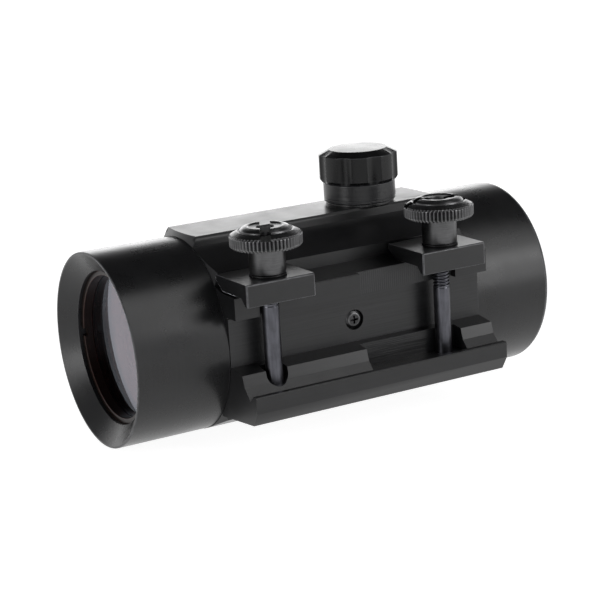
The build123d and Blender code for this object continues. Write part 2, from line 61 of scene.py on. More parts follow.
# Driving sizes in millimetres and degrees, the same as the CAD model's.
TUBE_R = 20.35
LENGTH = 99.6
BORE_R = 16.0
MOUTH_LIP_R = 19.9
JOINT_R = 18.75
GLASS_SEAT_R = 14.9
GLASS_THICKNESS = 2.0
BODY_X0, BODY_X1 = 20.2, 80.4
STUD_Y = -24.16
STUD_X = {"left": 27.9, "right": 68.7}
STUD_R = 1.75
STUD_FOOT, STUD_TOP, STUD_CHAMFER = -12.4, 22.0, 0.3
THREAD_PITCH, THREAD_DEPTH, THREAD_RUN_OUT = 0.7, 0.3, 0.4
CLAMP_TOP = {"left": 15.55, "right": 15.15}
THREAD_START = {"left": 9.6, "right": 6.2}
SLOT_ANGLE = {"left": 62, "right": -20}
WASHER_R, WASHER_THICKNESS = 3.75, 0.45
NUT_R = 7.25
NUT_TEETH = 56
NUT_TOOTH_DEPTH = 0.42
NUT_SLOT_HALF = 1.05
NUT_SLOT_DEPTH = 1.5
TURRET_X = 64.5
FLAT_Z = 21.4
DIAL_R, DIAL_TOP_Z, NECK_TOP_Z = 7.8, 26.2, 29.2
CAP_R, CAP_SHOULDER_Z, CAP_TOP_Z = 8.5, 32.15, 33.2
CAP_FLUTES, CAP_FLUTE_ANGLE = 8, 37.5
SCREW_X, SCREW_Z, CHANNEL_Y = 49.3, 1.6, -20.5
ADJUSTER_X = 38.0
GROUND_Z = -20.5


# --- materials ---------------------------------------------------------------

class Material:
    """A Principled material whose colour, roughness and relief come from nodes."""

    def __init__(self, name, **constants):
        self.material = bpy.data.materials.new(name)
        self.material.use_nodes = True
        self.tree = self.material.node_tree
        self.shader = self.tree.nodes["Principled BSDF"]
        for key, value in constants.items():
            self.shader.inputs[key.replace("_", " ")].default_value = value
        self.place = self.tree.nodes.new("ShaderNodeTexCoord").outputs["Object"]

    def add(self, kind, values, out=0, **settings):
        made = self.tree.nodes.new("ShaderNode" + kind)
        for key, value in settings.items():
            setattr(made, key, value)
        for key, value in values.items():
            if isinstance(value, bpy.types.NodeSocket):
                self.tree.links.new(value, made.inputs[key])
            else:
                made.inputs[key].default_value = value
        return made.outputs[out]

    def scaled(self, x, y, z):
        return self.add("VectorMath", {0: self.place, 1: (x, y, z)}, operation="MULTIPLY")

    def noise(self, vector, scale, detail=3.0, rough=0.55):
        return self.add("TexNoise", {"Vector": vector, "Scale": scale, "Detail": detail, "Roughness": rough})

    def remap(self, value, a, b, lo, hi):
        return self.add("MapRange", {0: value, 1: a, 2: b, 3: lo, 4: hi})

    def math(self, operation, a, b=0.0):
        return self.add("Math", {0: a, 1: b}, operation=operation)

    def mix(self, factor, a, b):
        return self.add("Mix", {0: factor, 6: a, 7: b}, out=2, data_type="RGBA")

    def mix_value(self, factor, a, b):
        return self.add("Mix", {0: factor, 2: a, 3: b}, out=0, data_type="FLOAT")

    def bump(self, height, strength, distance, under=None):
        values = {"Strength": strength, "Distance": distance, "Height": height}
        if under is not None:
            values["Normal"] = under
        return self.add("Bump", values)

    def attribute(self, name):
        """A value that the mesh carries on its faces: edge for worn edges, cut for the nut's slot, where the
        material paints shade.
        """
        return self.add("Attribute", {}, out=2, attribute_name=name)

    def axis(self, letter):
        parts = self.tree.nodes.new("ShaderNodeSeparateXYZ")
        self.tree.links.new(self.place, parts.inputs[0])
        return parts.outputs["XYZ".index(letter)]

    def link(self, value, socket):
        self.tree.links.new(value, self.shader.inputs[socket])

    def within(self, letter, low, high):
        value = self.axis(letter)
        above = self.math("GREATER_THAN", value, low * MM)
        below = self.math("LESS_THAN", value, high * MM)
        return self.math("MULTIPLY", above, below)

    def box_mask(self, x, y, z):
        mask = self.within("X", *x)
        mask = self.math("MULTIPLY", mask, self.within("Y", *y))
        return self.math("MULTIPLY", mask, self.within("Z", *z))


def grey(value, tint=(1.0, 1.0, 1.0)):
    return (value * tint[0], value * tint[1], value * tint[2], 1.0)


def anodised(name, base, rough, grain=0.25, wear=0.35, streak=(40, 3000, 3000), marks=(), ior=1.42,
             bare=(), tint=(0.98, 0.99, 1.06)):
    """Blasted and anodised aluminium: fine grain, faint streaks and rubbed edges, with
    tool marks (mask, pattern, strength) and chipped edges (mask) where they are given."""
    m = Material(name, Metallic=0.0, IOR=ior, Specular_IOR_Level=0.5)
    cloud = m.noise(m.place, 160, 4.0)
    colour = m.mix(m.remap(cloud, 0.35, 0.65, 0.0, 1.0), grey(base * 0.82, tint), grey(base * 1.2, tint))
    speck = m.noise(m.place, 5200, 2.0)
    colour = m.mix(m.remap(speck, 0.58, 0.78, 0.0, 0.4), colour, grey(base * 2.4, tint))
    lines = m.noise(m.scaled(*streak), 1.0, 3.0)
    colour = m.mix(m.remap(lines, 0.45, 0.75, 0.0, 0.3), colour, grey(base * 1.9, tint))
    patchy = m.remap(m.noise(m.place, 700, 3.0), 0.3, 0.62, 0.25, 1.0)
    rubbed = m.math("MULTIPLY", m.attribute("edge"), patchy)
    rubbed = m.math("MULTIPLY", rubbed, wear)
    colour = m.mix(rubbed, colour, grey(0.22, tint))
    for mask in bare:
        chips = m.remap(m.noise(m.place, 2600, 2.0), 0.38, 0.5, 0.0, 1.0)
        chipped = m.math("MULTIPLY", m.attribute("edge"), chips)
        colour = m.mix(m.math("MULTIPLY", mask(m), chipped), colour, grey(0.62, tint))
    relief = m.bump(m.noise(m.place, 7000, 2.0), grain, 0.000012)
    relief = m.bump(lines, grain * 0.5, 0.00001, relief)
    for mask, pattern, strength in marks:
        cut = m.math("MULTIPLY", mask(m), pattern(m))
        relief = m.bump(cut, strength, 0.00003, relief)
        colour = m.mix(m.math("MULTIPLY", cut, 0.35), colour, grey(base * 3.4, tint))
    m.link(colour, "Base Color")
    m.link(m.mix_value(rubbed, m.remap(cloud, 0.3, 0.7, rough - 0.03, rough + 0.04), 0.3), "Roughness")
    m.link(relief, "Normal")
    return m.material


def turned_steel(name, base, rough, marks=(300, 300, 9000), tint=(1.0, 1.0, 1.02), wear=0.4):
    """Dark turned steel with fine tool marks; the faces marked cut, inside the nut's slot, get painted
    shade: a near-black colour, and they are duller.
    """
    m = Material(name, Metallic=1.0, IOR=1.5)
    cloud = m.noise(m.place, 420, 4.0)
    colour = m.mix(m.remap(cloud, 0.3, 0.7, 0.0, 1.0), grey(base * 0.78, tint), grey(base * 1.25, tint))
    lines = m.noise(m.scaled(*marks), 1.0, 2.0)
    colour = m.mix(m.remap(lines, 0.4, 0.75, 0.0, 0.45), colour, grey(base * 1.8, tint))
    patchy = m.remap(m.noise(m.place, 1500, 3.0), 0.35, 0.65, 0.2, 1.0)
    rubbed = m.math("MULTIPLY", m.attribute("edge"), patchy)
    rubbed = m.math("MULTIPLY", rubbed, wear)
    colour = m.mix(rubbed, colour, grey(0.32, tint))
    # painted shade: the faces marked cut, inside the nut's slot, are mixed to near black
    colour = m.mix(m.attribute("cut"), colour, grey(0.012, tint))
    relief = m.bump(lines, 0.35, 0.000012)
    relief = m.bump(m.noise(m.place, 6000, 2.0), 0.12, 0.00001, relief)
    m.link(colour, "Base Color")
    smooth = m.mix_value(rubbed, m.remap(cloud, 0.3, 0.7, rough - 0.04, rough + 0.06), 0.28)
    m.link(m.mix_value(m.attribute("cut"), smooth, 0.85), "Roughness")
    m.link(relief, "Normal")
    return m.material


def plain_metal(name, colour, rough):
    """Bright small metal part with a little tarnish."""
    m = Material(name, Metallic=1.0, IOR=1.5)
    tarnish = m.noise(m.place, 2500, 4.0)
    dark = (colour[0] * 0.7, colour[1] * 0.66, colour[2] * 0.62, 1.0)
    m.link(m.mix(m.remap(tarnish, 0.35, 0.7, 0.0, 1.0), (*colour, 1.0), dark), "Base Color")
    m.link(m.remap(tarnish, 0.3, 0.7, rough, rough + 0.12), "Roughness")
    m.link(m.bump(m.noise(m.place, 7500, 2.0), 0.2, 0.00001), "Normal")
    return m.material


def plain_dielectric(name, colour, rough, scale=1800, strength=0.25):
    """Rubber, board or moulded plastic with a fine surface."""
    m = Material(name, Metallic=0.0, IOR=1.5)
    cloud = m.noise(m.place, scale, 4.0)
    light = (min(1, colour[0] * 1.6), min(1, colour[1] * 1.6), min(1, colour[2] * 1.6), 1.0)
    m.link(m.mix(m.remap(cloud, 0.35, 0.7, 0.0, 0.8), (*colour, 1.0), light), "Base Color")
    m.link(m.remap(cloud, 0.3, 0.7, rough, min(1.0, rough + 0.15)), "Roughness")
    m.link(m.bump(m.noise(m.place, scale * 4, 2.0), strength, 0.000015), "Normal")
    return m.material


def coated_glass(name, tint, reflect, ior=1.6):
    """Tinted glass with a coloured anti-reflection coating and a few smears."""
    m = Material(name, Metallic=0.0, IOR=ior, Transmission_Weight=1.0, Specular_Tint=(*reflect, 1.0))
    smear = m.noise(m.scaled(120, 160, 90), 1.0, 5.0, 0.6)
    deeper = (tint[0] * 0.9, tint[1] * 0.8, tint[2] * 0.8, 1.0)
    m.link(m.mix(m.remap(smear, 0.4, 0.7, 0.0, 1.0), (*tint, 1.0), deeper), "Base Color")
    m.link(m.remap(smear, 0.45, 0.75, 0.02, 0.05), "Roughness")
    return m.material


def stripes_x(period):
    """Cutter marks that stand upright, spaced along X."""
    def pattern(m):
        wobble = m.math("MULTIPLY", m.noise(m.scaled(900, 900, 60), 1.0, 2.0), 2.2)
        phase = m.math("ADD", m.math("MULTIPLY", m.axis("X"), 2 * math.pi / (period * MM)), wobble)
        return m.remap(m.math("SINE", phase), -1.0, 1.0, 0.0, 1.0)
    return pattern


def brushed_x():
    """Fine marks that run along X."""
    def pattern(m):
        return m.remap(m.noise(m.scaled(70, 5200, 5200), 1.0, 2.0), 0.35, 0.7, 0.0, 1.0)
    return pattern


def brushed_round():
    """Fine marks that run round an upright drum."""
    def pattern(m):
        return m.remap(m.noise(m.scaled(90, 90, 7000), 1.0, 2.0), 0.4, 0.7, 0.0, 1.0)
    return pattern


def region(x, y, z):
    """The part of the surface inside a box, given as (low, high) pairs in millimetres."""
    def mask(m):
        return m.box_mask(x, y, z)
    return mask


mats = {
    "anodised_tube": anodised("anodised_tube", 0.007, 0.28, wear=0.2, streak=(2200, 40, 40)),
    # Cutter marks on the shoulder pad, the jaw's gap and the channel floor; bare
    # metal at the left stud's notch and at the left end of the wall.
    "anodised_body": anodised(
        "anodised_body", 0.008, 0.31, marks=(
            (region((49.2, 72.4), (-22.5, -22.1), (7.0, 11.9)), stripes_x(0.5), 1.0),
            (region((49.0, 72.6), (-28.4, -22.0), (-8.4, -3.0)), brushed_x(), 0.6),
            (region((BODY_X0, BODY_X1), (-20.7, -20.3), (-3.2, 7.4)), brushed_x(), 0.12)),
        bare=(
            region((25.0, 30.8), (-28.5, -24.0), (-7.6, -3.2)),
            region((20.0, 20.7), (-24.5, -14.0), (-1.0, 15.0)))),
    "anodised_cap": anodised(
        "anodised_cap", 0.004, 0.26, grain=0.1, wear=0.15, streak=(60, 60, 4200), ior=1.32),
    "anodised_dial": anodised(
        "anodised_dial", 0.010, 0.31, grain=0.2, wear=0.25, streak=(70, 70, 5200), marks=(
            (region((TURRET_X - 8, TURRET_X + 8), (-8, 8), (22, DIAL_TOP_Z)), brushed_round(), 0.6),)),
    "bore_black": anodised("bore_black", 0.004, 0.3, grain=0.1, wear=0.1, tint=(1.6, 0.72, 0.55), ior=1.3),
    "black_steel": turned_steel("black_steel", 0.085, 0.34),
    "stud_steel": turned_steel(
        "stud_steel", 0.08, 0.32, marks=(2500, 2500, 260), tint=(0.96, 0.97, 1.10), wear=0.25),
    "screw_steel": turned_steel("screw_steel", 0.04, 0.3, wear=0.3),
    # painted shade: the washer's steel is made near black and barely worn, standing in for the shade under
    # the nut's hub
    "washer_steel_painted_shade": turned_steel("washer_steel_painted_shade", 0.02, 0.4, wear=0.05),
    "plated_steel": turned_steel("plated_steel", 0.05, 0.35),
    "spring_steel": plain_metal("spring_steel", (0.42, 0.42, 0.44), 0.25),
    "ball_steel": plain_metal("ball_steel", (0.72, 0.72, 0.74), 0.1),
    "clear_glass": coated_glass("clear_glass", (0.80, 0.72, 0.74), (0.86, 0.82, 1.0)),
    "front_glass": coated_glass("front_glass", (0.46, 0.24, 0.22), (0.62, 0.76, 1.0), 1.95),
    "red_glass": coated_glass("red_glass", (0.50, 0.08, 0.05), (0.85, 0.42, 0.44), 1.8),
    "rubber": plain_dielectric("rubber", (0.012, 0.012, 0.012), 0.6),
    "brass": plain_metal("brass", (0.55, 0.38, 0.15), 0.28),
    "board": plain_dielectric("board", (0.02, 0.10, 0.04), 0.4),
    "black_plastic": plain_dielectric("black_plastic", (0.02, 0.02, 0.021), 0.45),
    "led_resin": plain_dielectric("led_resin", (0.42, 0.02, 0.01), 0.12, 900, 0.05),
    "copper_wire": plain_metal("copper_wire", (0.50, 0.20, 0.10), 0.3),
    "cell_nickel": plain_metal("cell_nickel", (0.62, 0.62, 0.63), 0.22),
}


# --- mesh tools --------------------------------------------------------------

def rounded(points, size=0.2, steps=4, closed=True):
    """Round the corners of an outline; returns (u, v, corner) points, where
    corner numbers the points of one arc and is 0 elsewhere. A point may carry
    its own size as a third value."""
    made = []
    count = len(points)
    for i, point in enumerate(points):
        here = Vector(point[:2])
        radius = point[2] if len(point) > 2 else size
        open_end = not closed and i in (0, count - 1)
        if open_end or radius <= 0:
            made.append((here.x, here.y, 0))
            continue
        before = Vector(points[i - 1][:2]) - here
        after = Vector(points[(i + 1) % count][:2]) - here
        angle = before.angle(after)
        if angle > math.radians(176):
            made.append((here.x, here.y, 0))
            continue
        reach = min(radius / max(math.tan(angle / 2), 0.05), 0.45 * before.length, 0.45 * after.length)
        start = here + before.normalized() * reach
        end = here + after.normalized() * reach
        for k in range(steps + 1):
            s = k / steps
            p = start * (1 - s) ** 2 + here * 2 * s * (1 - s) + end * s * s
            made.append((p.x, p.y, i + 1))
    return made


def finished(name, bm, sharp=35.0):
    """Turn a bmesh in millimetres into a shaded object in metres."""
    bmesh.ops.recalc_face_normals(bm, faces=bm.faces)
    bmesh.ops.scale(bm, vec=(MM, MM, MM), verts=bm.verts)
    for face in bm.faces:
        face.smooth = True
    for edge in bm.edges:
        if len(edge.link_faces) == 2:
            edge.smooth = edge.calc_face_angle(0.0) < math.radians(sharp)
    mesh = bpy.data.meshes.new(name)
    bm.to_mesh(mesh)
    bm.free()
    made = bpy.data.objects.new(name, mesh)
    bpy.context.scene.collection.objects.link(made)
    weighted = made.modifiers.new("normals", "WEIGHTED_NORMAL")
    weighted.keep_sharp = True
    return made


AXES = {
    "x": Matrix(((0, 0, 1), (1, 0, 0), (0, 1, 0))),
    "y": Matrix(((1, 0, 0), (0, 0, 1), (0, -1, 0))),
    "z": Matrix(((1, 0, 0), (0, 1, 0), (0, 0, 1))),
    "-z": Matrix(((1, 0, 0), (0, -1, 0), (0, 0, -1))),
}


def turned(bm, profile, axis="z", centre=(0, 0, 0), steps=160, shape=None):
    """Add a solid of revolution. Profile points are (radius, height, corner), and
    may carry a fourth value: shape(angle, radius, value) then gives the radius."""
    layer = bm.faces.layers.float.get("edge") or bm.faces.layers.float.new("edge")
    turn = AXES[axis]
    middle = Vector(centre)
    rings = []
    for point in profile:
        radius, height = point[0], point[1]
        if radius < 1e-6:
            rings.append([bm.verts.new(middle + turn @ Vector((0, 0, height)))])
            continue
        ring = []
        for i in range(steps):
            angle = 2 * math.pi * i / steps
            r = radius
            if shape and len(point) > 3 and point[3]:
                r = shape(angle, radius, point[3])
            spoke = Vector((r * math.cos(angle), r * math.sin(angle), height))
            ring.append(bm.verts.new(middle + turn @ spoke))
        rings.append(ring)
    loop = len(rings[0]) > 1 and len(rings[-1]) > 1
    pairs = len(rings) if loop else len(rings) - 1
    for j in range(pairs):
        a, b = rings[j], rings[(j + 1) % len(rings)]
        if len(a) == 1 and len(b) == 1:
            continue
        corner, after = profile[j][2], profile[(j + 1) % len(rings)][2]
        worn = 1.0 if corner and corner == after else 0.0
        for i in range(steps):
            k = (i + 1) % steps
            if len(a) == 1:
                corners = (a[0], b[i], b[k])
            elif len(b) == 1:
                corners = (a[i], b[0], a[k])
            else:
                corners = (a[i], b[i], b[k], a[k])
            bm.faces.new(corners)[layer] = worn
    return bm


def lathe(name, points, axis="z", centre=(0, 0, 0), steps=160, size=0.15):
    """Turned piece with rounded corners from (radius, height) points."""
    closed = points[0][0] > 1e-6
    profile = rounded(points, size, closed=closed)
    return finished(name, turned(bmesh.new(), profile, axis, centre, steps))


def carve(target, cutters):
    """Cut closed bmeshes (in millimetres) out of a closed bmesh."""
    holder = to_temp("carve_target", target)
    for cutter in cutters:
        tool = to_temp("carve_tool", cutter)
        step = holder.modifiers.new("cut", "BOOLEAN")
        step.object = tool
        step.operation = "DIFFERENCE"
        step.solver = "EXACT"
        bpy.context.view_layer.update()
        ready = holder.evaluated_get(bpy.context.evaluated_depsgraph_get())
        mesh = bpy.data.meshes.new_from_object(ready)
        holder.modifiers.clear()
        old = holder.data
        holder.data = mesh
        bpy.data.meshes.remove(old)
        drop(tool)
    result = bmesh.new()
    result.from_mesh(holder.data)
    drop(holder)
    return result


def to_temp(name, bm):
    bmesh.ops.recalc_face_normals(bm, faces=bm.faces)
    mesh = bpy.data.meshes.new(name)
    bm.to_mesh(mesh)
    bm.free()
    made = bpy.data.objects.new(name, mesh)
    bpy.context.scene.collection.objects.link(made)
    return made


def drop(thing):
    mesh = thing.data
    bpy.data.objects.remove(thing)
    bpy.data.meshes.remove(mesh)


def box_tool(x, y, z):
    """Box as a bmesh in millimetres, from three (low, high) pairs."""
    bm = bmesh.new()
    corners = [bm.verts.new((a, b, c)) for a in x for b in y for c in z]
    for ids in ((0, 1, 3, 2), (4, 6, 7, 5), (0, 4, 5, 1), (2, 3, 7, 6), (0, 2, 6, 4), (1, 5, 7, 3)):
        bm.faces.new([corners[i] for i in ids])
    return bm


def soften(bm, width, least=25.0, where=None):
    """Bevel the edges sharper than least degrees and mark the new faces as edge wear."""
    layer = bm.faces.layers.float.get("edge") or bm.faces.layers.float.new("edge")
    edges = []
    for edge in bm.edges:
        if len(edge.link_faces) != 2 or edge.calc_face_angle(0.0) < math.radians(least):
            continue
        if where is None or all(where(v.co) for v in edge.verts):
            edges.append(edge)
    result = bmesh.ops.bevel(
        bm, geom=edges, offset=width, segments=2, profile=0.5, affect="EDGES", clamp_overlap=True)
    for face in result["faces"]:
        face[layer] = 1.0


def machined(name, node, width):
    """Copy a CAD node's shape, clean its facets and break its edges."""
    bm = bmesh.new()
    bm.from_mesh(nodes[node].data)
    bmesh.ops.scale(bm, vec=(1 / MM, 1 / MM, 1 / MM), verts=bm.verts)
    bmesh.ops.remove_doubles(bm, verts=bm.verts, dist=0.0005)
    bmesh.ops.dissolve_limit(bm, angle_limit=math.radians(0.4), verts=bm.verts, edges=bm.edges)
    bmesh.ops.dissolve_degenerate(bm, dist=0.0005, edges=bm.edges)
    soften(bm, width)
    return finished(name, bm)


def place(piece, node, material=None):
    """Let a piece stand for its CAD node, in the material of the node's slot or another."""
    slot = SLOTS[node]
    piece.data.materials.clear()
    piece.data.materials.append(mats[material or slot])
    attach(piece, nodes[node]["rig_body"])
    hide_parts(node)


# --- tube and glass ----------------------------------------------------------

def front_tube():
    return lathe("front_tube_turned", [
        (TUBE_R, 0.0, 0.25), (MOUTH_LIP_R, 0.0, 0.12), (BORE_R, 3.0, 0.12), (BORE_R, 8.2, 0.05),
        (GLASS_SEAT_R, 8.2, 0.1), (GLASS_SEAT_R, 9.4, 0.1), (16.6, 10.0, 0.1), (16.6, 25.2, 0.1),
        (JOINT_R, 25.2, 0.1), (JOINT_R, BODY_X0, 0.05), (TUBE_R, BODY_X0, 0.2)], "x", steps=256)


def rear_tube():
    return lathe("rear_tube_turned", [
        (16.6, 75.4, 0.1), (16.6, 88.0, 0.1), (GLASS_SEAT_R, 88.6, 0.1), (GLASS_SEAT_R, 89.8, 0.1),
        (BORE_R, 89.8, 0.05), (BORE_R, 97.6, 0.15), (17.8, LENGTH, 0.15), (TUBE_R, LENGTH, 1.0),
        (TUBE_R, BODY_X1, 0.2), (JOINT_R, BODY_X1, 0.05), (JOINT_R, 75.4, 0.1)], "x", steps=256)


def window(name, x):
    """Glass disc whose front face stands at x."""
    radius, back = 15.9, x + GLASS_THICKNESS
    return lathe(name, [(0, x), (radius, x, 0.25), (radius, back, 0.25), (0, back)], "x", steps=192)


def window_ring(name, x0, x1, notch_x0, notch_x1):
    """Ring that holds a glass, with two notches in its rim for a tool."""
    outer, notch = 15.93, 0.8
    profile = rounded([(GLASS_SEAT_R, x0), (outer, x0), (outer, x1), (GLASS_SEAT_R, x1)], 0.12)
    ring = turned(bmesh.new(), profile, "x", steps=192)
    ring = carve(ring, [box_tool((notch_x0, notch_x1), (-17, 17), (-notch, notch))])
    return finished(name, ring, 30)


place(front_tube(), "front_tube")
place(rear_tube(), "rear_tube")
place(window("front_window_glass", 5.8), "front_window", "front_glass")
place(window("rear_window_glass", 90.2), "rear_window")
place(window_ring("front_ring_turned", 3.8, 5.78, 3.6, 4.6), "front_window_ring", "bore_black")
place(window_ring("rear_ring_turned", 92.22, 94.4, 93.4, 95.0), "rear_window_ring")


# --- body and clamps ---------------------------------------------------------

place(machined("mount_body_milled", "mount_body", 0.13), "mount_body")
for side in ("left", "right"):
    place(machined(f"{side}_clamp_milled", f"{side}_clamp_block", 0.14), f"{side}_clamp_block")


def thread_cut(z, start, share):
    """Depth of the rolled thread at height z, at a share of a turn round the stud."""
    if not start - THREAD_RUN_OUT < z < STUD_TOP - STUD_CHAMFER:
        return 0.0
    wave = abs(((z - start) / THREAD_PITCH - share) % 1.0 - 0.5) * 2
    cut = THREAD_DEPTH * min(1.0, max(0.0, (wave - 0.2) / 0.55))
    return cut * min(1.0, (z - start + THREAD_RUN_OUT) / (2 * THREAD_RUN_OUT))


def studs():
    """Both studs: a plain shank with a rolled helical thread on the upper part."""
    bm = bmesh.new()
    layer = bm.faces.layers.float.new("edge")
    around, thread_top = 48, 21.6
    for side in ("left", "right"):
        start = THREAD_START[side]
        run_out = start - THREAD_RUN_OUT
        rows = int((thread_top - start + THREAD_RUN_OUT) / (THREAD_PITCH / 12))
        heights = [STUD_FOOT, STUD_FOOT + STUD_CHAMFER, -6.0, 0.0, run_out]
        heights += [run_out + (i + 1) * THREAD_PITCH / 12 for i in range(rows)] + [STUD_TOP]
        rings = []
        for z in heights:
            ring = []
            for i in range(around):
                share = i / around
                chamfer = STUD_CHAMFER if z in (STUD_FOOT, STUD_TOP) else 0.0
                r = STUD_R - thread_cut(z, start, share) - chamfer
                angle = 2 * math.pi * share
                x, y = STUD_X[side] + r * math.cos(angle), STUD_Y + r * math.sin(angle)
                ring.append(bm.verts.new((x, y, z)))
            rings.append(ring)
        for low, high in zip(rings, rings[1:]):
            for i in range(around):
                k = (i + 1) % around
                face = bm.faces.new((low[i], low[k], high[k], high[i]))
                reach = (Vector((*low[i].co.xy, 0)) - Vector((STUD_X[side], STUD_Y, 0))).length
                crest = start < low[i].co.z < thread_top - 0.1 and reach > STUD_R - 0.03
                face[layer] = 1.0 if crest else 0.0
        bm.faces.new(list(reversed(rings[0])))
        bm.faces.new(rings[-1])
    return finished("clamp_studs_threaded", bm, 60)


place(studs(), "clamp_studs", "stud_steel")


def washer(side):
    low = CLAMP_TOP[side]
    high = low + WASHER_THICKNESS
    return lathe(
        f"{side}_washer_turned", [(1.9, low), (WASHER_R, low), (WASHER_R, high), (1.9, high)],
        centre=(STUD_X[side], STUD_Y, 0), size=0.1)


def knurl(angle, radius, depth):
    """Straight V knurl with slightly blunt crests."""
    wave = abs((angle * NUT_TEETH / (2 * math.pi)) % 1.0 - 0.5) * 2
    return radius - depth * min(1.0, max(0.0, (wave - 0.25) / 0.75))


def thumb_nut(side):
    """Knurled nut: hub, toothed band, sloping shoulder, domed top and a coin slot."""
    z0 = CLAMP_TOP[side] + WASHER_THICKNESS
    z1, z2, z3 = z0 + 5.4, z0 + 8.05, z0 + 9.55
    hub = [(1.8, z0, 0.1), (3.65, z0, 0.25), (3.65, z1 - 0.1, 0.35), (6.6, z1, 0.15)]
    band = [
        (6.95, z1 + 0.05, 0.1), (NUT_R, z1 + 0.45, 0.3), (NUT_R, z2 - 0.35, 0.3), (6.95, z2, 0.15)]
    top = [
        (5.6, z2 + 0.72, 0.25), (5.42, z2 + 0.5, 0.08), (5.2, z2 + 0.5, 0.08), (5.1, z2 + 0.85, 0.15),
        (4.6, z3 - 0.2, 0.5), (3.9, z3, 0.3), (3.5, z3, 0.15), (3.2, z3 - 0.25, 0.15), (1.8, z3 - 0.3, 0.1)]
    profile = []
    for r, z, corner in rounded(hub + band + top, 0.15, 3):
        depth = NUT_TOOTH_DEPTH * min(1.0, max(0.0, (r - 6.9) / 0.3))
        profile.append((r, z, corner, depth))
    centre = (STUD_X[side], STUD_Y, 0)
    body = turned(bmesh.new(), profile, "z", centre, NUT_TEETH * 8, knurl)
    floor = z3 - 0.35 - NUT_SLOT_DEPTH
    tool = box_tool((-9, 9), (-NUT_SLOT_HALF, NUT_SLOT_HALF), (floor, z3 + 1))
    angle = math.radians(SLOT_ANGLE[side])
    bmesh.ops.rotate(tool, matrix=Matrix.Rotation(angle, 3, "Z"), verts=tool.verts)
    bmesh.ops.translate(tool, vec=centre, verts=tool.verts)
    body = carve(body, [tool])
    across = Vector((-math.sin(angle), math.cos(angle), 0))

    def in_slot(co):
        return abs((co - Vector(centre)).dot(across)) < NUT_SLOT_HALF + 0.01 and co.z > floor - 0.01

    soften(body, 0.09, 40, in_slot)
    # the faces inside the coin slot are marked cut, so that the material paints shade on them
    cut = body.faces.layers.float.new("cut")
    for face in body.faces:
        face[cut] = 1.0 if all(in_slot(v.co) for v in face.verts) else 0.0
    return finished(f"{side}_nut_knurled", body, 40)


for side in ("left", "right"):
    # the washers take the near-black steel that paints the shade under the nut hubs
    place(washer(side), f"{side}_clamp_washer", "washer_steel_painted_shade")
    place(thumb_nut(side), f"{side}_thumb_nut")


def floor_screw():
    """Pan head with a tapered cross recess."""
    profile = rounded([
        (0, 0.0, 0), (1.3, 0.0, 0.6), (1.95, 0.32, 0.35), (1.95, 1.05, 0.05), (0.95, 1.05, 0.05),
        (0.95, 3.45, 0.1), (0, 3.45, 0)], 0.1, 5, False)
    head = turned(bmesh.new(), profile, "y", (SCREW_X, CHANNEL_Y + 0.1, SCREW_Z), 96)
    tools = []
    for wide, high in ((1.18, 0.25), (0.25, 1.18)):
        tool = box_tool((-wide, wide), (-1.0, 0.8), (-high, high))
        for v in tool.verts:
            if v.co.y > 0:
                v.co.x *= 0.55 if wide > high else 0.8
                v.co.z *= 0.55 if high > wide else 0.8
            v.co += Vector((SCREW_X, CHANNEL_Y + 0.1, SCREW_Z))
        tools.append(tool)
    return finished("floor_screw_head", carve(head, tools), 35)


place(floor_screw(), "floor_screw", "screw_steel")


# --- turret ------------------------------------------------------------------

def turret_base():
    return lathe("turret_base_turned", [
        (4.0, 17.9), (6.15, 17.9), (6.15, FLAT_Z), (7.35, FLAT_Z, 0.05), (7.35, 21.9, 0.12),
        (4.8, 21.9), (4.8, 23.95), (4.0, 23.95)], centre=(TURRET_X, 0, 0), size=0.08, steps=192)


def dial():
    """Plain drum with a fine groove near its foot and a neck that the cap screws onto."""
    rim, groove, top = DIAL_R, DIAL_R - 0.08, DIAL_TOP_Z
    return lathe("brightness_dial_turned", [
        (4.85, 22.0), (7.6, 22.0, 0.1), (rim, 22.2, 0.15), (rim, 22.5, 0.04), (groove, 22.56, 0.03),
        (groove, 22.64, 0.03), (rim, 22.7, 0.04), (rim, 26.0, 0.15), (7.6, top, 0.1), (6.9, top, 0.1),
        (6.9, NECK_TOP_Z, 0.2), (6.4, NECK_TOP_Z, 0.2), (6.4, 24.9, 0.2), (1.2, 24.9), (1.2, 24.1),
        (4.85, 24.1)], centre=(TURRET_X, 0, 0), size=0.08, steps=192)


def scallop(angle, radius, _):
    """Shallow concave flutes round the cap, each cut by a cylinder that stands beside it."""
    step = 2 * math.pi / CAP_FLUTES
    off = ((angle - math.radians(CAP_FLUTE_ANGLE) + step / 2) % step) - step / 2
    cutter_at, cutter_r = 11.1, 3.2
    inside = cutter_r * cutter_r - (cutter_at * math.sin(off)) ** 2
    if inside <= 0:
        return radius
    return min(radius, cutter_at * math.cos(off) - math.sqrt(inside))


def battery_cap():
    """Cap with a fluted, chamfered outside and a plain hollow that fits over the neck."""
    foot = DIAL_TOP_Z + 0.1
    outside = rounded([
        (7.8, foot, 0.1), (8.1, foot, 0.1), (CAP_R, foot + 0.6, 0.12), (CAP_R, CAP_SHOULDER_Z, 0.2),
        (6.28, CAP_TOP_Z, 0.2), (0, CAP_TOP_Z)], 0.1, 4, False)
    hollow = rounded([
        (0, 30.0), (5.6, 30.0), (5.6, 29.5), (6.95, 29.5), (6.95, 27.1), (7.8, 27.1), (7.8, foot)],
        0.1, 2, False)
    profile = [(*point, 1.0) for point in outside] + [(r, z, 0, 0.0) for r, z, _ in hollow[:-1]]
    bm = turned(bmesh.new(), profile, "z", (TURRET_X, 0, 0), 480, scallop)
    return finished("battery_cap_fluted", bm, 32)


place(turret_base(), "turret_base")
place(dial(), "brightness_dial", "anodised_dial")
place(battery_cap(), "battery_cap")


# --- recessed adjusters ------------------------------------------------------

